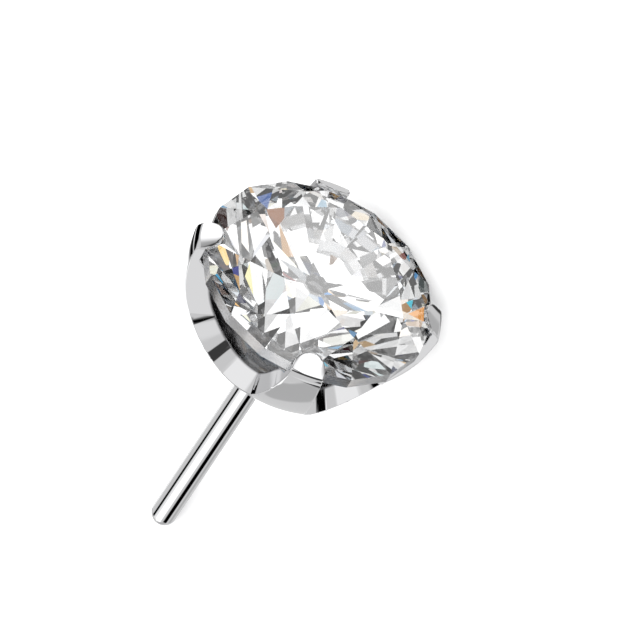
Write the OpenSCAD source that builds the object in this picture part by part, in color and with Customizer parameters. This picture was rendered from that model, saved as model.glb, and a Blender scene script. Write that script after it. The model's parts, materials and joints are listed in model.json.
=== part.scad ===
// Threadless piercing top: a round clear stone in a four-prong basket with a plain push-in pin.
// The jewel is built upright about its own axis, with z = 0 at the upper edge of the girdle,
// and the last module lays it on its side as it rests on a table.

/* [Stone] */
// Diameter of the stone across the corners of its girdle
stone_d = 5; // [3:0.5:8]
// Height of the girdle band
girdle_h = 0.255; // [0.1:0.005:0.3]
// Width of the table as a share of the stone's diameter
table_share = 0.563; // [0.52:0.001:0.62]
// Slope of the main crown facets
crown_angle = 34.2; // [31:0.1:37]
// Slope of the main pavilion facets
pavilion_angle = 40.95; // [39:0.05:42]
// Share of the crown's slope that the star facets take
star_share = 0.445; // [0.4:0.005:0.6]
// Share of the pavilion's slope that the lower girdle facets take
lower_share = 0.81; // [0.7:0.01:0.85]

/* [Basket] */
// How far the round basket stands out past the girdle
basket_over = 0.225; // [0.15:0.025:0.4]
// Thickness of the basket's wall
wall = 0.5; // [0.3:0.05:0.7]
// Half angle of each round window, seen from the middle of the basket
window_half_angle = 36.8; // [33:0.1:38]
// How far the middle of each window points below the girdle
window_dip = 10.9; // [8:0.1:14]

/* [Prongs] */
// Width of a prong where it meets the stone
prong_w = 0.7; // [0.5:0.02:0.9]
// Widening of each side of a prong towards the bottom
prong_flare = 8.25; // [4:0.25:12]
// How far a prong's tip reaches in over the stone
prong_reach = 0.31; // [0.2:0.01:0.5]
// Thickness of the folded tip
tip_t = 0.1; // [0.08:0.01:0.2]
// Rounding where a prong folds over the girdle
fold_r = 0.2; // [0.1:0.02:0.3]

/* [Pin] */
// Diameter of the pin
pin_d = 0.535; // [0.45:0.005:0.65]
// Length of the pin from the bottom of the basket to its round end
pin_l = 5.4; // [4:0.1:7]

/* [Hidden] */
$fn = 72;

// Clear space between the stone and the metal
gap = 0.02;
// Facets in a full ring, and the sides of the girdle, two for each main facet
mains = 8;
girdle_sides = 2 * mains;
prongs = 4;
facet_step = 360 / mains;
side_step = 360 / girdle_sides;

// Stone: radii and heights of the corners where the facets meet
stone_r = stone_d / 2;
table_r = stone_r * table_share;
table_flat_r = table_r * cos(side_step);
table_z = (stone_r - table_r) * tan(crown_angle);
star_r = table_flat_r + (stone_r - table_flat_r) * star_share;
star_z = (stone_r - star_r * cos(side_step)) * tan(crown_angle);
lower_r = stone_r * (1 - lower_share);
lower_z = -girdle_h - (stone_r - lower_r * cos(side_step)) * tan(pavilion_angle);
culet_z = -girdle_h - stone_r * tan(pavilion_angle);

// Basket, prongs and pin
basket_r = stone_r + basket_over;
cavity_r = basket_r - wall;
cup_top_z = -0.2 * stone_r;
prong_step = 360 / prongs;
window_az = prong_step / 2;
tip_r = stone_r - prong_reach;
// Middle of the rounding at the fold, as distances square to the crown's slope and along it
fold_n = stone_r * sin(crown_angle) + gap + tip_t - fold_r;
fold_u = sqrt(pow(basket_r - fold_r, 2) - fold_n * fold_n);
fold_steps = 6;
pin_r = pin_d / 2;
pin_end_z = -basket_r - pin_l + pin_r;
// Longer than anything here, for the blocks that cut
far = 3 * stone_r;

// Resting place: it lies on the pin's round end and on one corner of the girdle between two
// prongs, rolled over from that corner until the edge of the nearer prong all but meets the
// table too. The axis rises by lie_angle from the pin's end towards the stone.
rest_corner_az = 315;
rest_roll = 4.5;
rest_az = rest_corner_az - rest_roll;
rest_reach = stone_r * cos(rest_roll);
rest_run = -girdle_h - pin_end_z;
lie_angle = acos(pin_r / norm([rest_reach, rest_run])) - atan(rest_run / rest_reach);
axis_h = pin_r - pin_end_z * sin(lie_angle);
back_x = pin_end_z * cos(lie_angle) - pin_r;
front_x = table_r * cos(rest_roll) * sin(lie_angle) + table_z * cos(lie_angle);
mid_x = (back_x + front_x) / 2;

// Points of one ring round the axis, every step degrees from the azimuth start
function ring(start, step, r, z) =
    [for (az = [start : step : start + 359]) [r * cos(az), r * sin(az), z]];

// Upright stone: one ring of corners for each height, and the facets between them
module stone_form() {
    table_i = 0;
    star_i = table_i + mains;
    girdle_top_i = star_i + mains;
    girdle_bottom_i = girdle_top_i + girdle_sides;
    lower_i = girdle_bottom_i + girdle_sides;
    culet_i = lower_i + mains;
    points = concat(
        ring(0, facet_step, table_r, table_z),
        ring(side_step, facet_step, star_r, star_z),
        ring(0, side_step, stone_r, 0),
        ring(0, side_step, stone_r, -girdle_h),
        ring(side_step, facet_step, lower_r, lower_z),
        [[0, 0, culet_z]]);
    table = [[for (i = [mains - 1 : -1 : 0]) table_i + i]];
    // Facets of one eighth: next is the following main, last the star or lower corner before
    eighths = [for (i = [0 : mains - 1])
        let (next = (i + 1) % mains, last = (i + mains - 1) % mains,
            corner = girdle_top_i + 2 * i, mid = corner + 1, after = girdle_top_i + 2 * next,
            corner_b = girdle_bottom_i + 2 * i, mid_b = corner_b + 1,
            after_b = girdle_bottom_i + 2 * next)
        each [
            [table_i + i, table_i + next, star_i + i],
            [table_i + i, star_i + i, corner, star_i + last],
            [star_i + i, mid, corner],
            [star_i + i, after, mid],
            [corner, mid, mid_b, corner_b],
            [mid, after, after_b, mid_b],
            [lower_i + i, corner_b, mid_b],
            [lower_i + i, mid_b, after_b],
            [culet_i, lower_i + last, corner_b, lower_i + i]]];
    polyhedron(points, concat(table, eighths));
}

// Turned seat: the room that the stone's girdle and pavilion take, with the gap all round
module seat_cut() {
    gap_z = gap / cos(pavilion_angle);
    rotate_extrude()
        polygon([
            [0, culet_z - gap_z],
            [stone_r + gap, -girdle_h - gap_z + gap * tan(pavilion_angle)],
            [stone_r + gap, far],
            [0, far]]);
}

// What is turned off above the prongs: all that lies over a slope parallel to the main crown
// facets, and past the rounding from that slope down to the ball
module above_fold() {
    fold = fold_n * [sin(crown_angle), cos(crown_angle)]
        + fold_u * [cos(crown_angle), -sin(crown_angle)];
    from = atan2(fold[1], fold[0]);
    to = 90 - crown_angle;
    bend = [for (i = [0 : fold_steps])
        let (a = from + (to - from) * i / fold_steps)
        fold + fold_r * [cos(a), sin(a)]];
    top_end = bend[fold_steps];
    outside = bend[0] + far * (bend[0] - bend[1]);
    rotate_extrude()
        polygon(concat(
            [[0, far], [far, far], [outside[0], outside[1]]],
            bend,
            [[0, top_end[1] + top_end[0] * tan(crown_angle)]]));
}

// Cone from the middle of the basket that opens one round window
module window_cone(az) {
    rotate([0, 0, az])
        rotate([0, 90 + window_dip, 0])
            cylinder(h = far, r1 = 0, r2 = far * tan(window_half_angle));
}

// Lower cup that the prongs rise from
module cup() {
    difference() {
        translate([-far, -far, cup_top_z - far])
            cube([2 * far, 2 * far, far]);
        for (az = [window_az : prong_step : 359])
            window_cone(az);
    }
}

// Upright part of the prong at azimuth 0, wider towards the bottom
module prong_arm() {
    top_w = prong_w / 2;
    foot_w = top_w + basket_r * tan(prong_flare);
    rotate([90, 0, 90])
        linear_extrude(far)
            polygon([
                [-top_w, table_z], [-top_w, 0], [-foot_w, -basket_r],
                [foot_w, -basket_r], [top_w, 0], [top_w, table_z]]);
}

// Round-ended finger of the prong at azimuth 0, its underside along the stone's main facet
module prong_finger() {
    round_r = prong_w / 2;
    slope_x = (tip_r - stone_r) / cos(crown_angle) + round_r;
    translate([stone_r, 0, 0])
        rotate([0, crown_angle, 0])
            translate([slope_x, 0, gap])
                linear_extrude(2 * tip_t)
                    union() {
                        circle(round_r);
                        translate([0, -round_r]) square([far, prong_w]);
                    }
}

// Cup and upright prongs, hollow below the girdle and round it
module hollow_basket() {
    difference() {
        union() {
            cup();
            for (az = [0 : prong_step : 359])
                rotate([0, 0, az]) prong_arm();
        }
        intersection() {
            sphere(cavity_r);
            translate([-far, -far, -2 * far]) cube(2 * far);
        }
        seat_cut();
    }
}

// Round basket with its four folded fingers
module basket() {
    difference() {
        intersection() {
            sphere(basket_r);
            union() {
                hollow_basket();
                for (az = [0 : prong_step : 359])
                    rotate([0, 0, az]) prong_finger();
            }
        }
        above_fold();
    }
}

// Straight pin with a round end, welded into the bottom of the basket
module pin() {
    translate([0, 0, pin_end_z])
        cylinder(h = -pin_end_z - basket_r + wall / 2, r = pin_r);
    translate([0, 0, pin_end_z])
        sphere(pin_r);
}

// Lays the upright jewel on its side, pin towards -x, lowest point at z = 0
module lie_down() {
    translate([-mid_x, 0, axis_h])
        rotate([0, 90 - lie_angle, 0])
            rotate([0, 0, -rest_az])
                children();
}

// Basket, prongs and pin in one piece of polished metal
module setting() {
    color("silver")
        lie_down() {
            basket();
            pin();
        }
}

// Clear round stone
module stone() {
    color("aliceblue")
        lie_down()
            stone_form();
}

setting();
stone();
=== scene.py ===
"""Looks of a threadless piercing top that lies on a pale table.

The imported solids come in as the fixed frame. The jewel is modelled upright: its axis is z, the
pin points down and the upper edge of the girdle is at z = 0. It is then laid down into the row's
frame. Sizes are in millimetres and angles in degrees, where nothing else is said.
"""

import json
import logging
import math
from dataclasses import dataclass
from enum import Enum
from typing import Any

import bpy
from mathutils import Matrix, Vector

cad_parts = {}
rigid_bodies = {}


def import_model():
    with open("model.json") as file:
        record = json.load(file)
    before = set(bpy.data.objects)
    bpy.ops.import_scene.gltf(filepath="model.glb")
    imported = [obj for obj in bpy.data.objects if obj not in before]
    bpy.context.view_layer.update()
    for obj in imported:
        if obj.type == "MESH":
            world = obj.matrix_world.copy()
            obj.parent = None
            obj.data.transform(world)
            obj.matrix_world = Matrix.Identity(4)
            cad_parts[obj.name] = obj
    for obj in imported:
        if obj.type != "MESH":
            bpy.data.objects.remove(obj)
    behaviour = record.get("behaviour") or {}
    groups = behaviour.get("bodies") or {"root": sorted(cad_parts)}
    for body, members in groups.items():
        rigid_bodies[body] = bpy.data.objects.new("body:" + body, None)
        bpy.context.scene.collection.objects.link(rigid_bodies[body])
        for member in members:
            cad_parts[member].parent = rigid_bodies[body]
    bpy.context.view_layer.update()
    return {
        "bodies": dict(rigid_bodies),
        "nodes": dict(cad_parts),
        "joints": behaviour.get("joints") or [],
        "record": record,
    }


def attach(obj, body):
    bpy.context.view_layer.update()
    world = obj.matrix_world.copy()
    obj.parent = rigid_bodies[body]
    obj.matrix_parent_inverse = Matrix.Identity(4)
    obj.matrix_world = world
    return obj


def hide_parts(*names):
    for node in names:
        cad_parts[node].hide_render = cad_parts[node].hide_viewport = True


MM = 0.001
Colour = tuple[float, float, float, float]
Profile = list[tuple[float, float]]

# The upright jewel's axis, and the angle in radians of the lowest point of a profile's arc
UP = Vector((0.0, 0.0, 1.0))
LOWEST = -math.pi / 2
PRONGS = 4
# Main facets of the crown, with as many of the pavilion, and the turn from one to the next
MAINS = 8
MAIN_STEP = 360 / MAINS
HALF_STEP = MAIN_STEP / 2

log = logging.getLogger("piercing_top")


# Named choices


class Cut(Enum):
    """What is done with a tool on a piece."""

    TAKE_OFF = "DIFFERENCE"
    JOIN = "UNION"
    KEEP_COMMON = "INTERSECT"


class Sight(Enum):
    """Kinds of ray, each with the output of the light path that marks it."""

    METAL = "Is Glossy Ray"
    STONE = "Is Transmission Ray"
    TABLE = "Is Diffuse Ray"
    EYE = "Is Camera Ray"


class Tone(Enum):
    """How bright a panel of the studio is."""

    BLACK = 0.0
    DARK = 0.05
    SHADE = 0.15
    GREY = 0.5
    DULL = 0.7
    FAIR = 0.85
    PALE = 1.0
    WHITE = 1.4
    LAMP = 2.2


# Shader maths


class Term:
    """One value in a node tree, on which Python's arithmetic adds Math nodes."""

    def __init__(self, maker: "NodeMaker", socket: bpy.types.NodeSocket) -> None:
        """Wraps a value socket.

        Args:
            maker: the tree's node maker.
            socket: the output socket that carries the value.
        """
        self.maker = maker
        self.socket = socket

    def _math(self, operation: str, *values: "Term | float") -> "Term":
        """Adds one Math node.

        Args:
            operation: the node's operation.
            values: its inputs.

        Returns:
            The node's value.
        """
        node = self.maker.add("ShaderNodeMath", {"operation": operation}, dict(enumerate(values)))
        return Term(self.maker, node.outputs[0])

    def __add__(self, other: "Term | float") -> "Term":
        """Sum of this and other."""
        return self._math("ADD", self, other)

    def __radd__(self, other: "Term | float") -> "Term":
        """Sum of other and this."""
        return self._math("ADD", other, self)

    def __sub__(self, other: "Term | float") -> "Term":
        """This less other."""
        return self._math("SUBTRACT", self, other)

    def __rsub__(self, other: "Term | float") -> "Term":
        """Other less this."""
        return self._math("SUBTRACT", other, self)

    def __mul__(self, other: "Term | float") -> "Term":
        """Product of this and other."""
        return self._math("MULTIPLY", self, other)

    def __rmul__(self, other: "Term | float") -> "Term":
        """Product of other and this."""
        return self._math("MULTIPLY", other, self)

    def __truediv__(self, other: "Term | float") -> "Term":
        """This over other."""
        return self._math("DIVIDE", self, other)

    def __rtruediv__(self, other: "Term | float") -> "Term":
        """Other over this."""
        return self._math("DIVIDE", other, self)

    def size(self) -> "Term":
        """This value without its sign."""
        return self._math("ABSOLUTE", self)

    def angle(self, across: "Term | float") -> "Term":
        """Angle whose rise is this value and whose run is the other."""
        return self._math("ARCTAN2", self, across) * math.degrees(1.0)

    def rise(self) -> "Term":
        """Angle whose sine is this value."""
        return self._math("ARCSINE", self) * math.degrees(1.0)

    def wrapped(self) -> "Term":
        """This angle brought between -180 and 180 degrees."""
        return self._math("WRAP", self, 180.0, -180.0)

    def above(self, edge: float, soft: float) -> "Term":
        """Mask of the values above an edge, from 0 at edge - soft to 1 at edge + soft."""
        return self._step(edge - soft, edge + soft, 0.0, 1.0)

    def below(self, edge: float, soft: float) -> "Term":
        """Mask of the values below an edge, from 1 at edge - soft to 0 at edge + soft."""
        return self._step(edge - soft, edge + soft, 1.0, 0.0)

    def _step(self, low: float, high: float, first: float, last: float) -> "Term":
        """Smooth step of this value.

        Args:
            low: value up to which the step has its first level.
            high: value from which it has its last level.
            first: the level at low.
            last: the level at high.

        Returns:
            The level.
        """
        node = self.maker.add("ShaderNodeMapRange", {"interpolation_type": "SMOOTHSTEP"}, {
            "Value": self, "From Min": low, "From Max": high, "To Min": first, "To Max": last})
        return Term(self.maker, node.outputs[0])


class NodeMaker:
    """Adds nodes to one node tree."""

    # Places of the colour sockets on a Mix node, which has more than one socket of each name
    MIX_FIRST = 6
    MIX_SECOND = 7
    MIXED = 2

    def __init__(self, tree: bpy.types.NodeTree) -> None:
        """Empties the tree.

        Args:
            tree: the tree to fill.
        """
        self.tree = tree
        tree.nodes.clear()

    def add(self, kind: str, settings: dict[str, Any] | None = None,
            inputs: dict[str | int, Any] | None = None) -> bpy.types.Node:
        """Adds one node.

        Args:
            kind: the node's type.
            settings: its properties, set first.
            inputs: its sockets by name or place, each a number, colour, socket or term.

        Returns:
            The node.
        """
        node = self.tree.nodes.new(kind)
        for name, value in (settings or {}).items():
            setattr(node, name, value)
        for name, value in (inputs or {}).items():
            socket = node.inputs[name]
            source = value.socket if isinstance(value, Term) else value
            if isinstance(source, bpy.types.NodeSocket):
                self.tree.links.new(source, socket)
            else:
                socket.default_value = source
        return node

    def term(self, socket: bpy.types.NodeSocket) -> Term:
        """A value socket as a term."""
        return Term(self, socket)

    def vector(self, operation: str, *values: Any) -> bpy.types.Node:
        """Adds one Vector Math node, on sockets or fixed vectors."""
        return self.add("ShaderNodeVectorMath", {"operation": operation}, dict(enumerate(values)))

    def length(self, vector: bpy.types.NodeSocket) -> Term:
        """Length of a vector."""
        return self.term(self.vector("LENGTH", vector).outputs["Value"])

    def dot(self, vector: bpy.types.NodeSocket, axis: Vector) -> Term:
        """Component of a vector along a fixed axis."""
        return self.term(self.vector("DOT_PRODUCT", vector, tuple(axis)).outputs["Value"])

    def noise(self, place: bpy.types.NodeSocket, scale: float, detail: float) -> Term:
        """Adds a cloudy pattern.

        Args:
            place: socket with the place that it is read at.
            scale: how fine it is.
            detail: how many finer layers lie over it.

        Returns:
            The pattern, from 0 to 1.
        """
        node = self.add("ShaderNodeTexNoise", {}, {
            "Vector": place, "Scale": scale, "Detail": detail})
        return self.term(node.outputs["Fac"])

    def blend(self, share: Term, first: Any, second: Any) -> bpy.types.NodeSocket:
        """Mixes two colours.

        Args:
            share: how much of the second colour there is, from 0 to 1.
            first: the first colour, fixed or a socket.
            second: the second colour.

        Returns:
            The mixed colour's socket.
        """
        node = self.add("ShaderNodeMix", {"data_type": "RGBA"}, {
            "Factor": share, self.MIX_FIRST: first, self.MIX_SECOND: second})
        return node.outputs[self.MIXED]


def new_material(name: str) -> tuple[bpy.types.Material, NodeMaker]:
    """Starts a material.

    Args:
        name: its name.

    Returns:
        The material, and the maker of its nodes.
    """
    made = bpy.data.materials.new(name)
    made.use_nodes = True
    return made, NodeMaker(made.node_tree)


# Sizes and place of the piece


@dataclass(frozen=True)
class Jewel:
    """Sizes that the setting and the stone share with the solids, and how the jewel lies.

    It rests on the pin's end and on one corner of the girdle, rolled a little over from it.
    """

    stone_r: float = 2.5
    girdle_h: float = 0.255
    table_share: float = 0.563
    crown_angle: float = 34.2
    pavilion_angle: float = 40.95
    ball_r: float = 2.725
    pin_r: float = 0.2675
    pin_l: float = 5.4
    corner_az: float = 315.0
    roll: float = 4.5

    def table_corner(self) -> tuple[float, float]:
        """Radius and height of the table's corners."""
        radius = self.stone_r * self.table_share
        return radius, (self.stone_r - radius) * math.tan(math.radians(self.crown_angle))

    def laid(self) -> Matrix:
        """Place of the jewel as it lies on the table.

        Returns:
            The matrix from the upright jewel, in millimetres, to the row's frame, in metres.
        """
        pin_end = -self.ball_r - self.pin_l + self.pin_r
        roll = math.radians(self.roll)
        reach = self.stone_r * math.cos(roll)
        run = -self.girdle_h - pin_end
        lie = math.acos(self.pin_r / math.hypot(reach, run)) - math.atan(run / reach)
        table_r, table_z = self.table_corner()
        back = pin_end * math.cos(lie) - self.pin_r
        front = table_r * math.cos(roll) * math.sin(lie) + table_z * math.cos(lie)
        middle = Vector((-(back + front) / 2, 0.0, self.pin_r - pin_end * math.sin(lie)))
        return (
            Matrix.Scale(MM, 4)
            @ Matrix.Translation(middle)
            @ Matrix.Rotation(math.pi / 2 - lie, 4, "Y")
            @ Matrix.Rotation(-math.radians(self.corner_az - self.roll), 4, "Z")
        )

    def axis(self) -> Vector:
        """Direction of the laid jewel's axis, from the pin to the stone."""
        return (self.laid().to_3x3() @ UP).normalized()

    def offset(self, maker: NodeMaker, place: bpy.types.NodeSocket) -> bpy.types.NodeSocket:
        """Place of a surface point from the middle of the girdle's upper edge.

        Args:
            maker: the tree's node maker.
            place: socket with the point's place in the row's frame.

        Returns:
            The socket with the vector between them, in metres.
        """
        return maker.vector("SUBTRACT", place, tuple(self.laid().translation)).outputs[0]


# Bench work


def arc(middle: tuple[float, float], radius: float, start: float, end: float,
        steps: int) -> Profile:
    """Points of an arc.

    Args:
        middle: its middle.
        radius: its radius.
        start: angle of its first point, in radians.
        end: angle of its last point, in radians.
        steps: how many steps it has.

    Returns:
        The points, one more than the steps.
    """
    points = []
    for i in range(steps + 1):
        angle = start + (end - start) * i / steps
        points.append((middle[0] + radius * math.cos(angle),
                       middle[1] + radius * math.sin(angle)))
    return points


class Bench:
    """Modelling steps that the pieces share, on an upright jewel in millimetres."""

    # Corners of a turned solid that are nearer than this are one
    WELD = 1e-5

    @staticmethod
    def take(piece: bpy.types.Object) -> None:
        """Makes a piece the only selected and the active one.

        Args:
            piece: the piece.
        """
        bpy.ops.object.select_all(action="DESELECT")
        piece.select_set(True)
        bpy.context.view_layer.objects.active = piece

    @staticmethod
    def wire(name: str, points: list[Vector]) -> bpy.types.Object:
        """Draws a bent line, from one point of a plane that is extruded step by step.

        Args:
            name: name of the piece.
            points: the corners of the line.

        Returns:
            The piece, left in edit mode with all of it selected.
        """
        bpy.ops.object.select_all(action="DESELECT")
        bpy.ops.mesh.primitive_plane_add(size=1.0, location=points[0])
        piece = bpy.context.active_object
        piece.name = name
        bpy.ops.object.transform_apply(location=True, rotation=True, scale=True)
        bpy.ops.object.mode_set(mode="EDIT")
        bpy.ops.mesh.select_all(action="SELECT")
        bpy.ops.mesh.merge(type="CENTER")
        for last, point in zip(points, points[1:]):
            bpy.ops.mesh.extrude_region_move(
                TRANSFORM_OT_translate={"value": tuple(point - last)})
        bpy.ops.mesh.select_all(action="SELECT")
        return piece

    @staticmethod
    def turned(name: str, profile: Profile, steps: int) -> bpy.types.Object:
        """Turns a solid from its profile.

        Args:
            name: name of the piece.
            profile: radius and height of each corner, from one end of the axis to the other.
            steps: how many steps the full turn has.

        Returns:
            The closed solid.
        """
        piece = Bench.wire(name, [Vector((r, 0.0, z)) for r, z in profile])
        bpy.ops.mesh.spin(steps=steps, angle=2 * math.pi, center=(0, 0, 0), axis=(0, 0, 1))
        bpy.ops.mesh.select_all(action="SELECT")
        bpy.ops.mesh.remove_doubles(threshold=Bench.WELD)
        bpy.ops.mesh.normals_make_consistent(inside=False)
        bpy.ops.object.mode_set(mode="OBJECT")
        return piece

    @staticmethod
    def bar(name: str, outline: list[Vector], along: Vector) -> bpy.types.Object:
        """Extrudes a flat outline.

        Args:
            name: name of the piece.
            outline: its corners in order.
            along: how far and which way it is extruded.

        Returns:
            The closed solid.
        """
        piece = Bench.wire(name, outline)
        bpy.ops.mesh.edge_face_add()
        bpy.ops.mesh.extrude_region_move(TRANSFORM_OT_translate={"value": tuple(along)})
        bpy.ops.mesh.select_all(action="SELECT")
        bpy.ops.mesh.normals_make_consistent(inside=False)
        bpy.ops.object.mode_set(mode="OBJECT")
        return piece

    @staticmethod
    def turn_to(piece: bpy.types.Object, turn: Matrix) -> bpy.types.Object:
        """Moves a piece and puts the move into its mesh.

        Args:
            piece: the piece.
            turn: the move.

        Returns:
            The same piece.
        """
        Bench.take(piece)
        piece.matrix_world = turn @ piece.matrix_world
        bpy.context.view_layer.update()
        bpy.ops.object.transform_apply(location=True, rotation=True, scale=True)
        return piece

    @staticmethod
    def all_round(piece: bpy.types.Object, count: int) -> list[bpy.types.Object]:
        """Copies a piece round the upright axis, each copy with a mesh of its own.

        Args:
            piece: the first of them.
            count: how many there are in all.

        Returns:
            All of them.
        """
        pieces = [piece]
        for i in range(1, count):
            other = piece.copy()
            other.data = piece.data.copy()
            bpy.context.scene.collection.objects.link(other)
            turn = Matrix.Rotation(math.radians(360 / count * i), 4, "Z")
            pieces.append(Bench.turn_to(other, turn))
        return pieces

    @staticmethod
    def combine(piece: bpy.types.Object, tool: bpy.types.Object, how: Cut) -> bpy.types.Object:
        """Joins a tool to a piece or cuts with it, and removes the tool.

        Args:
            piece: the piece that stays.
            tool: the other solid.
            how: what is done with it.

        Returns:
            The piece.
        """
        Bench.take(piece)
        cut = piece.modifiers.new("cut", "BOOLEAN")
        cut.operation = how.value
        cut.solver = "EXACT"
        cut.object = tool
        bpy.ops.object.modifier_apply(modifier=cut.name)
        bpy.data.objects.remove(tool)
        return piece

    @staticmethod
    def coat(piece: bpy.types.Object, finish: bpy.types.Material) -> None:
        """Gives a piece its only material.

        Args:
            piece: the piece.
            finish: the material.
        """
        piece.data.materials.clear()
        piece.data.materials.append(finish)


# Setting


@dataclass
class Setting:
    """Turned ball basket with four round windows and folded prongs, on its straight pin."""

    jewel: Jewel
    wall: float = 0.5
    window_half_angle: float = 36.8
    window_dip: float = 10.9
    cup_top: float = -0.5
    prong_w: float = 0.7
    prong_flare: float = 8.25
    prong_reach: float = 0.31
    tip_t: float = 0.1
    fold_r: float = 0.2
    gap: float = 0.02

    # Sizes of the tools, all of which reach past what they cut or are cut back later
    far: float = 8.0
    prong_top: float = 1.25
    finger_l: float = 3.0
    # A finger is this much wider on each side than the upright part of its prong, so that
    # their sides never lie in one plane
    finger_over: float = 0.0015

    # How many steps the round stretches have, and where the cone on top has its rings
    turn_steps: int = 144
    ball_steps: int = 72
    fold_steps: int = 8
    hollow_steps: int = 48
    window_steps: int = 120
    tip_steps: int = 24
    pin_turn_steps: int = 64
    pin_steps: int = 12
    cone_rings: tuple[float, ...] = (0.9, 0.8, 0.7, 0.5)

    # Broken edges: how wide, how many faces, and how far an edge turns that is broken
    edge: float = 0.022
    edge_faces: int = 2
    edge_turn: float = 18.0
    # A smooth surface turns by less than this at an edge
    smooth_turn: float = 50.0
    # Corners nearer than this are one, and edges shorter than this are left out
    weld: float = 0.004
    least_edge: float = 0.002
    # A spot off every plane of symmetry
    sort_from: tuple[float, float, float] = (7.13, 2.39, 11.87)

    def fold(self) -> tuple[Vector, float]:
        """Rounding where a prong folds over.

        Returns:
            Middle of the rounding as radius and height, and the angle where it starts.
        """
        crown = math.radians(self.jewel.crown_angle)
        square = self.jewel.stone_r * math.sin(crown) + self.gap + self.tip_t - self.fold_r
        along = math.sqrt((self.jewel.ball_r - self.fold_r) ** 2 - square ** 2)
        middle = (square * Vector((math.sin(crown), math.cos(crown)))
                  + along * Vector((math.cos(crown), -math.sin(crown))))
        return middle, math.atan2(middle.y, middle.x)

    def blank(self) -> bpy.types.Object:
        """Turns the ball with its coned top, from which all the rest is cut.

        Returns:
            The solid.
        """
        crown = math.radians(self.jewel.crown_angle)
        ball = self.jewel.ball_r
        middle, start = self.fold()
        profile = [(0.0, -ball)]
        profile += arc((0.0, 0.0), ball, LOWEST, start, self.ball_steps)[1:]
        profile += arc(tuple(middle), self.fold_r, start, math.pi / 2 - crown, self.fold_steps)[1:]
        r, z = profile[-1]
        slope = math.tan(crown)
        for share in self.cone_rings:
            profile.append((r * share, z + r * (1 - share) * slope))
        profile.append((0.0, z + r * slope))
        return Bench.turned("setting", profile, self.turn_steps)

    def seat_foot(self, inner: float, rim: tuple[float, float]) -> float:
        """Height at which the seat's cone meets the round hollow below it.

        Args:
            inner: radius of the hollow.
            rim: radius and height of the cone's upper end.

        Returns:
            The height, to a hundredth of a millimetre.
        """
        # At height z the cone has the radius start + run * z, and the hollow meets it where
        # the squares of that radius and of z make up the square of the hollow's radius
        run = 1 / math.tan(math.radians(self.jewel.pavilion_angle))
        start = rim[0] - run * rim[1]
        square = 1 + run ** 2
        root = math.sqrt((start * run) ** 2 - square * (start ** 2 - inner ** 2))
        return round((root - start * run) / square, 2)

    def hollow(self) -> bpy.types.Object:
        """Turns the hollow of the basket with the seat for the stone.

        Returns:
            The solid.
        """
        inner = self.jewel.ball_r - self.wall
        pavilion = math.radians(self.jewel.pavilion_angle)
        lift = self.gap / math.cos(pavilion)
        rim = self.jewel.stone_r + self.gap
        rim_z = -self.jewel.girdle_h - lift + self.gap * math.tan(pavilion)
        foot = math.asin(self.seat_foot(inner, (rim, rim_z)) / inner)
        profile = [(0.0, -inner)]
        profile += arc((0.0, 0.0), inner, LOWEST, foot, self.hollow_steps)[1:]
        profile += [(rim, rim_z), (rim, self.far), (0.0, self.far)]
        return Bench.turned("room", profile, self.turn_steps)

    def windowed_cup(self) -> bpy.types.Object:
        """Cuts the four windows into the block under the prongs.

        Returns:
            The solid.
        """
        bpy.ops.object.select_all(action="DESELECT")
        bpy.ops.mesh.primitive_cube_add(
            size=2 * self.far, location=(0.0, 0.0, self.cup_top - self.far))
        cup = bpy.context.active_object
        cup.name = "cup"
        bpy.ops.object.transform_apply(location=True, rotation=True, scale=True)
        wide = self.far * math.tan(math.radians(self.window_half_angle))
        cone = [(0.0, 0.0), (wide, self.far), (0.0, self.far)]
        window = Bench.turned("window", cone, self.window_steps)
        Bench.turn_to(window, Matrix.Rotation(math.radians(180 / PRONGS), 4, "Z")
                      @ Matrix.Rotation(math.radians(90 + self.window_dip), 4, "Y"))
        for tool in Bench.all_round(window, PRONGS):
            Bench.combine(cup, tool, Cut.TAKE_OFF)
        return cup

    def prong(self) -> bpy.types.Object:
        """Extrudes the upright part of one prong, wider towards its foot.

        Returns:
            The solid.
        """
        half = self.prong_w / 2
        foot = self.jewel.ball_r
        foot_half = half + foot * math.tan(math.radians(self.prong_flare))
        outline = [Vector((0.0, y, z)) for y, z in (
            (-half, self.prong_top), (-half, 0.0), (-foot_half, -foot),
            (foot_half, -foot), (half, 0.0), (half, self.prong_top))]
        return Bench.bar("prong", outline, Vector((self.far, 0.0, 0.0)))

    def finger(self) -> bpy.types.Object:
        """Extrudes the round-ended finger of one prong, laid along the crown.

        Returns:
            The solid.
        """
        half = self.prong_w / 2 + self.finger_over
        crown = math.radians(self.jewel.crown_angle)
        start = -self.prong_reach / math.cos(crown) + half
        end = start + self.finger_l
        tip = arc((start, 0.0), half, LOWEST, LOWEST - math.pi, self.tip_steps)
        outline = [Vector((x, y, 0.0)) for x, y in [(end, -half), *tip, (end, half)]]
        finger = Bench.bar("finger", outline, Vector((0.0, 0.0, 2 * self.tip_t)))
        return Bench.turn_to(finger, Matrix.Translation((self.jewel.stone_r, 0.0, 0.0))
                             @ Matrix.Rotation(crown, 4, "Y")
                             @ Matrix.Translation((0.0, 0.0, self.gap)))

    def pin(self) -> bpy.types.Object:
        """Turns the straight pin with its round end.

        Returns:
            The solid.
        """
        r = self.jewel.pin_r
        end = -self.jewel.ball_r - self.jewel.pin_l
        length = self.jewel.pin_l - r + self.wall / 2
        profile = [(0.0, end)]
        profile += arc((0.0, end + r), r, LOWEST, 0.0, self.pin_steps)[1:]
        for i in range(1, self.pin_steps + 1):
            profile.append((r, end + r + length * i / self.pin_steps))
        profile.append((0.0, profile[-1][1]))
        return Bench.turned("pin", profile, self.pin_turn_steps)

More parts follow.
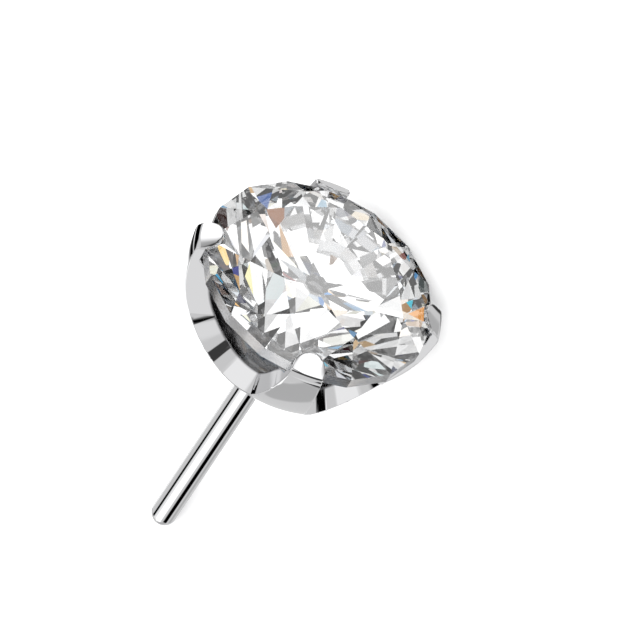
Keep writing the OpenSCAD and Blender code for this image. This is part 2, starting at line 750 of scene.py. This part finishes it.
    def clean(self, piece: bpy.types.Object) -> None:
        """Welds corners that all but meet, the same ones in every run.

        Args:
            piece: the setting.
        """
        Bench.take(piece)
        bpy.ops.object.mode_set(mode="EDIT")
        bpy.ops.mesh.select_all(action="SELECT")
        # The cuts leave the corners in an order that varies, so they are sorted first, by
        # their distance from the cursor
        cursor = bpy.context.scene.cursor
        cursor.location = self.sort_from
        bpy.ops.mesh.sort_elements(type="CURSOR_DISTANCE", elements={"VERT", "EDGE", "FACE"})
        cursor.location = (0.0, 0.0, 0.0)
        bpy.ops.mesh.remove_doubles(threshold=self.weld)
        bpy.ops.mesh.dissolve_degenerate(threshold=self.least_edge)
        bpy.ops.object.mode_set(mode="OBJECT")

    def break_edges(self, piece: bpy.types.Object) -> None:
        """Breaks the sharp edges and smooths the rest.

        Args:
            piece: the setting.
        """
        broken = piece.modifiers.new("broken_edges", "BEVEL")
        broken.width = self.edge
        broken.segments = self.edge_faces
        broken.limit_method = "ANGLE"
        broken.angle_limit = math.radians(self.edge_turn)
        broken.use_clamp_overlap = False
        bpy.ops.object.modifier_apply(modifier=broken.name)
        bpy.ops.object.shade_smooth_by_angle(angle=math.radians(self.smooth_turn))
        weigh = piece.modifiers.new("weighted_normals", "WEIGHTED_NORMAL")
        weigh.mode = "FACE_AREA"
        weigh.keep_sharp = True
        bpy.ops.object.modifier_apply(modifier=weigh.name)

    def build(self) -> bpy.types.Object:
        """Cuts the whole setting in one piece.

        Returns:
            The setting, in the row's frame.
        """
        metal = self.windowed_cup()
        for prong in Bench.all_round(self.prong(), PRONGS):
            Bench.combine(metal, prong, Cut.JOIN)
        Bench.combine(metal, self.hollow(), Cut.TAKE_OFF)
        for finger in Bench.all_round(self.finger(), PRONGS):
            Bench.combine(metal, finger, Cut.JOIN)
        setting = Bench.combine(self.blank(), metal, Cut.KEEP_COMMON)
        Bench.combine(setting, self.pin(), Cut.JOIN)
        self.clean(setting)
        self.break_edges(setting)
        return Bench.turn_to(setting, self.jewel.laid())

    def dress(self, piece: bpy.types.Object, finish: bpy.types.Material) -> None:
        """Gives the setting its finish and ties it to the frame.

        Args:
            piece: the setting.
            finish: its material.
        """
        piece.name = "polished_setting"
        Bench.coat(piece, finish)
        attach(piece, "root")
        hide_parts("setting")
        piece.visible_transmission = False


# Stone


@dataclass
class Brilliant:
    """Round brilliant, ground facet by facet from a drum with two sides for each main facet."""

    jewel: Jewel
    star_share: float = 0.445
    lower_share: float = 0.81
    # Corners nearer than these are one, in one cut and on the ground stone
    cut_weld: float = 1e-6
    weld: float = 1e-4

    @staticmethod
    def corner(radius: float, azimuth: float, height: float) -> Vector:
        """One corner of the stone."""
        a = math.radians(azimuth)
        return Vector((radius * math.cos(a), radius * math.sin(a), height))

    def facets(self) -> list[tuple[Vector, Vector, Vector]]:
        """Three corners of each facet plane but the girdle's.

        Returns:
            The corners, facet by facet.
        """
        corner = self.corner
        r = self.jewel.stone_r
        girdle = -self.jewel.girdle_h
        crown = math.tan(math.radians(self.jewel.crown_angle))
        pavilion = math.tan(math.radians(self.jewel.pavilion_angle))
        flat = math.cos(math.radians(HALF_STEP))
        table_r, table_z = self.jewel.table_corner()
        star_r = table_r * flat + (r - table_r * flat) * self.star_share
        star_z = (r - star_r * flat) * crown
        lower_r = r * (1 - self.lower_share)
        lower_z = girdle - (r - lower_r * flat) * pavilion
        culet = Vector((0.0, 0.0, girdle - r * pavilion))
        # Any three corners of the table give its plane
        planes = [tuple(corner(table_r, a, table_z) for a in (0, 90, 180))]
        for i in range(MAINS):
            a = i * MAIN_STEP
            mid = a + HALF_STEP
            after = a + MAIN_STEP
            star = corner(star_r, mid, star_z)
            lower = corner(lower_r, mid, lower_z)
            planes += [
                (corner(table_r, a, table_z), corner(table_r, after, table_z), star),
                (corner(table_r, a, table_z), star, corner(r, a, 0.0)),
                (star, corner(r, a, 0.0), corner(r, mid, 0.0)),
                (star, corner(r, after, 0.0), corner(r, mid, 0.0)),
                (lower, corner(r, a, girdle), corner(r, mid, girdle)),
                (lower, corner(r, after, girdle), corner(r, mid, girdle)),
                (culet, corner(lower_r, a - HALF_STEP, lower_z), corner(r, a, girdle)),
            ]
        return planes

    def build(self) -> bpy.types.Object:
        """Grinds the stone.

        Returns:
            The stone, in the row's frame.
        """
        r = self.jewel.stone_r
        bpy.ops.object.select_all(action="DESELECT")
        bpy.ops.mesh.primitive_cylinder_add(
            vertices=2 * MAINS, radius=r, depth=2 * r, location=(0.0, 0.0, 0.0))
        stone = bpy.context.active_object
        stone.name = "cut_stone"
        bpy.ops.object.transform_apply(location=True, rotation=True, scale=True)
        bpy.ops.object.mode_set(mode="EDIT")
        for a, b, c in self.facets():
            square = (b - a).cross(c - a).normalized()
            if square.dot(a) < 0:
                square.negate()
            bpy.ops.mesh.select_all(action="SELECT")
            bpy.ops.mesh.bisect(plane_co=a, plane_no=square, use_fill=True, clear_outer=True,
                                threshold=self.cut_weld)
        bpy.ops.mesh.select_all(action="SELECT")
        bpy.ops.mesh.remove_doubles(threshold=self.weld)
        bpy.ops.mesh.normals_make_consistent(inside=False)
        bpy.ops.object.mode_set(mode="OBJECT")
        bpy.ops.object.shade_flat()
        return Bench.turn_to(stone, self.jewel.laid())

    def dress(self, piece: bpy.types.Object, finish: bpy.types.Material) -> None:
        """Gives the stone its finish and ties it to the frame.

        Args:
            piece: the stone.
            finish: its material.
        """
        Bench.coat(piece, finish)
        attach(piece, "root")
        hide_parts("stone")


# Finishes


@dataclass(frozen=True)
class PolishedTitanium:
    """Mirror polished metal with faint polishing marks, rougher inside the basket, where painted
    shade darkens its colour.
    """

    jewel: Jewel
    colour: Colour = (0.80, 0.80, 0.81, 1.0)
    roughness: float = 0.03
    # Marks a millimetre wide, with finer ones over them, spread the roughness evenly about
    # its level. Their scale is per metre
    mark_scale: float = 900.0
    mark_detail: float = 4.0
    mark_spread: float = 0.03
    # Inside is what lies nearer than this to the jewel's origin and below this height
    inside_r: float = 2.26
    inside_r_soft: float = 0.03
    inside_top: float = -0.3
    inside_top_soft: float = 0.1
    # Painted shade: a darker colour for the metal inside the basket, in place of the shade that
    # falls there
    painted_shade_colour: Colour = (0.20, 0.20, 0.205, 1.0)
    inside_roughness: float = 0.1

    def inside(self, maker: NodeMaker, place: bpy.types.NodeSocket) -> Term:
        """Where the metal lies inside the basket, which gets painted shade in its colour and a
        rougher finish.

        Args:
            maker: the tree's node maker.
            place: socket with the place in the row's frame.

        Returns:
            1 inside and 0 outside.
        """
        offset = self.jewel.offset(maker, place)
        radius = maker.length(offset) / MM
        height = maker.dot(offset, self.jewel.axis()) / MM
        return (radius.below(self.inside_r, self.inside_r_soft)
                * height.below(self.inside_top, self.inside_top_soft))

    def material(self) -> bpy.types.Material:
        """Builds the material.

        Returns:
            The material.
        """
        made, maker = new_material("polished_titanium")
        place = maker.add("ShaderNodeTexCoord").outputs["Object"]
        marks = maker.noise(place, self.mark_scale, self.mark_detail)
        inside = self.inside(maker, place)
        # Painted shade: the colour inside the basket is darkened, besides being made rougher
        colour = maker.blend(inside, self.colour, self.painted_shade_colour)
        rough = (marks * self.mark_spread + inside * self.inside_roughness
                 + (self.roughness - self.mark_spread / 2))
        shader = maker.add("ShaderNodeBsdfPrincipled", {}, {
            "Base Color": colour, "Metallic": 1.0, "Roughness": rough})
        maker.add("ShaderNodeOutputMaterial", {}, {"Surface": shader.outputs[0]})
        return made


@dataclass(frozen=True)
class ClearBrilliant:
    """Clear cut stone with the faintest cloud in it, its girdle left greyer and less polished."""

    jewel: Jewel
    ior: float = 2.486
    clear: Colour = (1.0, 1.0, 1.0, 1.0)
    # A cloud a few millimetres wide, its scale per metre
    cloud: Colour = (0.975, 0.98, 0.985, 1.0)
    cloud_scale: float = 400.0
    cloud_detail: float = 2.0
    girdle: Colour = (0.30, 0.30, 0.31, 1.0)
    girdle_roughness: float = 0.22
    girdle_soft: float = 0.004

    def band(self, maker: NodeMaker, place: bpy.types.NodeSocket) -> Term:
        """Where the girdle is.

        Args:
            maker: the tree's node maker.
            place: socket with the place in the row's frame.

        Returns:
            1 on the girdle and 0 on the facets above and below it.
        """
        height = maker.dot(self.jewel.offset(maker, place), self.jewel.axis()) / MM
        return (height.above(-self.jewel.girdle_h, self.girdle_soft)
                * height.below(0.0, self.girdle_soft))

    def material(self) -> bpy.types.Material:
        """Builds the material.

        Returns:
            The material.
        """
        made, maker = new_material("clear_stone")
        place = maker.add("ShaderNodeTexCoord").outputs["Object"]
        cloud = maker.noise(place, self.cloud_scale, self.cloud_detail)
        body = maker.blend(cloud, self.clear, self.cloud)
        band = self.band(maker, place)
        colour = maker.blend(band, body, self.girdle)
        shader = maker.add("ShaderNodeBsdfPrincipled", {}, {
            "Base Color": colour, "Roughness": band * self.girdle_roughness, "IOR": self.ior,
            "Transmission Weight": 1.0})
        maker.add("ShaderNodeOutputMaterial", {}, {"Surface": shader.outputs[0]})
        return made


@dataclass(frozen=True)
class PalePaper:
    """Dull white surface of the table."""

    colour: Colour = (0.92, 0.92, 0.92, 1.0)

    def material(self) -> bpy.types.Material:
        """Builds the material.

        Returns:
            The material.
        """
        made, maker = new_material("pale_table")
        shader = maker.add("ShaderNodeBsdfDiffuse", {}, {"Color": self.colour})
        maker.add("ShaderNodeOutputMaterial", {}, {"Surface": shader.outputs[0]})
        return made


# Studio


@dataclass(frozen=True)
class Look:
    """One direction looked in: its azimuth and elevation."""

    azimuth: Term
    elevation: Term

    @staticmethod
    def along(maker: NodeMaker, vector: bpy.types.NodeSocket) -> "Look":
        """Works out the two angles.

        Args:
            maker: the tree's node maker.
            vector: socket with the unit vector looked along.

        Returns:
            The direction.
        """
        parts = maker.add("ShaderNodeSeparateXYZ", {}, {"Vector": vector})
        run, side, height = (maker.term(part) for part in parts.outputs)
        return Look(side.angle(run), height.rise())


@dataclass(frozen=True)
class Panel:
    """One panel of light or shade in the studio.

    Seen from the jewel it fills the azimuths from west to east and the elevations from low to
    high.
    """

    west: float
    east: float
    low: float
    high: float
    tone: Tone
    soft: float = 2.0

    def mask(self, look: Look) -> Term:
        """Where the panel is seen.

        Args:
            look: the direction looked in.

        Returns:
            1 on the panel and 0 off it.
        """
        half = (self.east - self.west) / 2
        aside = (look.azimuth - (self.east + self.west) / 2).wrapped().size()
        return (aside.below(half, self.soft)
                * look.elevation.above(self.low, self.soft)
                * look.elevation.below(self.high, self.soft))


@dataclass(frozen=True)
class Room:
    """What one kind of ray sees all round: an even level with panels in front of it.

    A room with a fringe shows red and blue that much aside of green, as a stone with fire does.
    """

    level: float
    panels: tuple[Panel, ...] = ()
    fringe: float = 0.0

    @staticmethod
    def aside(maker: NodeMaker, direction: bpy.types.NodeSocket,
              shift: Vector) -> bpy.types.NodeSocket:
        """Turns a direction a little.

        Args:
            maker: the tree's node maker.
            direction: socket with the direction.
            shift: what is added to it.

        Returns:
            The socket with the turned direction.
        """
        moved = maker.vector("ADD", direction, tuple(shift))
        return maker.vector("NORMALIZE", moved.outputs[0]).outputs[0]

    def channel(self, maker: NodeMaker, direction: bpy.types.NodeSocket) -> Term | float:
        """Builds the light of one of the three colours.

        Args:
            maker: the tree's node maker.
            direction: socket with the direction looked in.

        Returns:
            The brightness.
        """
        look = Look.along(maker, direction)
        level = self.level
        for panel in self.panels:
            level = level + panel.mask(look) * (panel.tone.value - level)
        return level

    def colour(self, maker: NodeMaker, direction: bpy.types.NodeSocket,
               axis: Vector) -> bpy.types.NodeSocket | Colour:
        """Builds the room's light.

        Args:
            maker: the tree's node maker.
            direction: socket with the direction looked in.
            axis: the way that the fringe goes.

        Returns:
            The colour's socket, or the colour where it is the same all round.
        """
        if not self.panels:
            return (self.level, self.level, self.level, 1.0)
        if self.fringe:
            red = self.aside(maker, direction, self.fringe * axis)
            blue = self.aside(maker, direction, -self.fringe * axis)
            levels = [self.channel(maker, looked) for looked in (red, direction, blue)]
        else:
            levels = [self.channel(maker, direction)] * 3
        return maker.add("ShaderNodeCombineColor", {}, {
            "Red": levels[0], "Green": levels[1], "Blue": levels[2]}).outputs[0]


@dataclass(frozen=True)
class Studio:
    """Rooms of light round the jewel, one for each kind of ray."""

    rooms: dict[Sight, Room]
    axis: Vector

    def build(self) -> None:
        """Builds the world: rays of no listed kind see the first room."""
        world = bpy.data.worlds.new("soft_room")
        bpy.context.scene.world = world
        world.use_nodes = True
        maker = NodeMaker(world.node_tree)
        direction = maker.add("ShaderNodeTexCoord").outputs["Generated"]
        path = maker.add("ShaderNodeLightPath")
        seen = None
        for sight, room in self.rooms.items():
            colour = room.colour(maker, direction, self.axis)
            light = maker.add("ShaderNodeBackground", {}, {"Color": colour}).outputs[0]
            if seen is not None:
                light = maker.add("ShaderNodeMixShader", {}, {
                    0: path.outputs[sight.value], 1: seen, 2: light}).outputs[0]
            seen = light
        maker.add("ShaderNodeOutputWorld", {}, {"Surface": seen})
        # Each ray has to find its own room, so the world isn't sampled as a lamp
        world.cycles.sampling_method = "NONE"


# In each room a later panel stands before those above it
ROOMS = {
    Sight.METAL: Room(0.7, (
        # In front, mirrored by the stone's facets and the prongs' tips
        Panel(-60, 60, -25, 50, Tone.DARK),
        Panel(-28, 12, -48, -20, Tone.DARK),
        Panel(14, 34, -34, -14, Tone.LAMP),
        Panel(55, 70, -2, 10, Tone.WHITE),
        Panel(-42, -30, -36, -24, Tone.GREY),
        Panel(-6, 0, -44, -36, Tone.WHITE),
        Panel(-4, 12, 5, 20, Tone.WHITE),
        Panel(-38, -20, 12, 26, Tone.WHITE),
        Panel(-40, -26, 30, 44, Tone.WHITE),
        Panel(58, 68, -46, -32, Tone.WHITE),
        Panel(72, 90, -38, -18, Tone.GREY),
        Panel(72, 90, -18, -2, Tone.DARK),
        # Ceiling and wall to the left, with dark beams
        Panel(-90, -58, 54, 78, Tone.FAIR),
        Panel(-72, -20, 56, 66, Tone.FAIR),
        Panel(-86, -66, 48, 53, Tone.BLACK),
        Panel(-6, 30, 65, 75, Tone.DARK),
        Panel(-95, -78, 5, 20, Tone.BLACK),
        Panel(-70, -54, -30, 0, Tone.PALE),
        Panel(-60, -54, -76, -46, Tone.BLACK),
        # Softbox to the right
        Panel(52, 95, 24, 58, Tone.PALE),
        # Behind the pin
        Panel(162, 182, 8, 34, Tone.PALE),
        Panel(176, 213, 0, 34, Tone.WHITE),
        Panel(146, 158, 8, 30, Tone.BLACK),
        Panel(-177, -140, -25, 1, Tone.GREY),
        Panel(-156, -142, 0, 9, Tone.DULL),
        Panel(-139, -126, -19, 5, Tone.BLACK),
        Panel(-129, -112, 5, 22, Tone.FAIR),
        Panel(-140, -126, -53, -32, Tone.GREY),
        Panel(125, 156, -57, -30, Tone.WHITE),
        Panel(127, 137, -32, -20, Tone.WHITE),
        # To the right, mirrored by the outside of the left prong
        Panel(84, 128, -24, 12, Tone.BLACK),
        Panel(123, 127, -20, -14, Tone.GREY),
        Panel(133, 138, -42, -20, Tone.BLACK),
        # Under the basket
        Panel(20, 100, -90, -65, Tone.DARK),
        Panel(-12, 8, -72, -62, Tone.GREY),
        Panel(98, 112, -75, -62, Tone.BLACK),
        Panel(112, 134, -75, -52, Tone.BLACK),
        # Small lights that only facets of the stone mirror
        Panel(47, 57, -20, -10, Tone.DULL),
        Panel(28, 38, 4, 14, Tone.DULL),
        Panel(-16, -6, -15, -5, Tone.GREY),
        Panel(-50, -41, -24, -14, Tone.GREY),
        Panel(17, 27, 37, 46, Tone.GREY),
        Panel(-26, -15, -76, -67, Tone.WHITE),
    )),
    Sight.STONE: Room(0.9, (
        # Above: dark ceiling, two dark blinds, and a window between them with a beam below it
        Panel(-85, 90, 52, 68, Tone.BLACK),
        Panel(-75, -50, 0, 45, Tone.SHADE),
        Panel(15, 50, 16, 58, Tone.BLACK),
        Panel(-52, -25, 30, 50, Tone.WHITE),
        Panel(-28, 14, 18, 44, Tone.WHITE),
        Panel(-65, -10, 6, 24, Tone.BLACK),
        # In front, at the jewel's height
        Panel(-52, -18, -20, 2, Tone.WHITE),
        Panel(-8, 2, -32, 8, Tone.BLACK),
        Panel(-80, -52, -14, 2, Tone.BLACK),
        # Below, in front
        Panel(12, 36, -55, -3, Tone.SHADE),
        Panel(38, 52, -38, -19, Tone.BLACK),
        Panel(58, 84, -46, -26, Tone.WHITE),
        Panel(-35, -16, -90, -44, Tone.WHITE),
        # Behind
        Panel(105, 118, 0, 12, Tone.WHITE),
        Panel(128, 142, -8, 0, Tone.BLACK),
        Panel(-140, -120, -30, -8, Tone.WHITE),
        Panel(-140, -130, -50, -34, Tone.BLACK),
        Panel(94, 144, -46, -40, Tone.WHITE),
        Panel(150, 160, -28, -10, Tone.BLACK),
        Panel(140, 165, -52, -36, Tone.WHITE),
    ), fringe=0.025),
    Sight.TABLE: Room(1.8),
    Sight.EYE: Room(1.0),
}


@dataclass(frozen=True)
class Table:
    """Pale flat table that the jewel lies on."""

    half: float = 500.0

    def build(self) -> bpy.types.Object:
        """Lays the table top.

        Returns:
            The table.
        """
        bpy.ops.object.select_all(action="DESELECT")
        bpy.ops.mesh.primitive_plane_add(size=2 * self.half * MM, location=(0, 0, 0))
        table = bpy.context.active_object
        table.name = "table"
        return table

    def dress(self, table: bpy.types.Object, finish: bpy.types.Material) -> None:
        """Gives the table its finish, and hides it from the rays that the jewel mirrors or bends.

        Args:
            table: the table.
            finish: its material.
        """
        Bench.coat(table, finish)
        table.visible_glossy = False
        table.visible_transmission = False


@dataclass(frozen=True)
class PhotoCamera:
    """Camera without perspective, at the photo's angle to the jewel.

    The photo's right and down are directions in the upright jewel's frame. The middle of the
    photo lies off the middle of the girdle's upper edge by off_right and off_down.
    """

    right: tuple[float, float, float] = (0.0998, -0.9118, 0.3984)
    down: tuple[float, float, float] = (-0.7286, -0.3396, -0.5948)
    frame_w: float = 12.91
    off_right: float = 0.0085
    off_down: float = 0.794
    away: float = 60.0
    nearest: float = 1.0
    farthest: float = 2000.0

    def build(self, jewel: Matrix) -> bpy.types.Object:
        """Sets up the camera.

        Args:
            jewel: place of the jewel.

        Returns:
            The camera.
        """
        turn = jewel.to_3x3().normalized()
        right = (turn @ Vector(self.right)).normalized()
        up = -(turn @ Vector(self.down))
        back = right.cross(up).normalized()
        up = back.cross(right)
        data = bpy.data.cameras.new("photo_camera")
        data.type = "ORTHO"
        data.ortho_scale = self.frame_w * MM
        data.clip_start = self.nearest * MM
        data.clip_end = self.farthest * MM
        camera = bpy.data.objects.new("photo_camera", data)
        bpy.context.scene.collection.objects.link(camera)
        spot = jewel.translation + MM * (self.off_right * right - self.off_down * up
                                         + self.away * back)
        frame = Matrix((right, up, back)).transposed().to_4x4()
        camera.matrix_world = Matrix.Translation(spot) @ frame
        bpy.context.scene.camera = camera
        return camera


@dataclass(frozen=True)
class Exposure:
    """How the picture is taken: few bounces leave the stone its darkest facets."""

    bounces: int = 10

    def apply(self) -> None:
        """Sets the scene's colours and how far light is followed."""
        scene = bpy.context.scene
        scene.view_settings.view_transform = "Standard"
        scene.cycles.max_bounces = self.bounces
        scene.cycles.glossy_bounces = self.bounces
        scene.cycles.transmission_bounces = self.bounces
        scene.cycles.blur_glossy = 0.0


def main() -> None:
    """Builds the whole scene."""
    logging.basicConfig(level=logging.INFO, format="%(name)s: %(message)s")
    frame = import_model()
    log.info("frame: %d nodes", len(frame["nodes"]))
    jewel = Jewel()
    metal = PolishedTitanium(jewel).material()
    clear = ClearBrilliant(jewel).material()
    for part, finish in ((Setting(jewel), metal), (Brilliant(jewel), clear)):
        piece = part.build()
        part.dress(piece, finish)
        log.info("%s: %d faces", piece.name, len(piece.data.polygons))
    Studio(ROOMS, jewel.axis()).build()
    top = Table()
    table = top.build()
    top.dress(table, PalePaper().material())
    log.info("%s: %d faces", table.name, len(table.data.polygons))
    camera = PhotoCamera().build(jewel.laid())
    log.info("%s stands at %s", camera.name, tuple(round(x, 4) for x in camera.location))
    Exposure().apply()


if __name__ == "__main__":
    main()
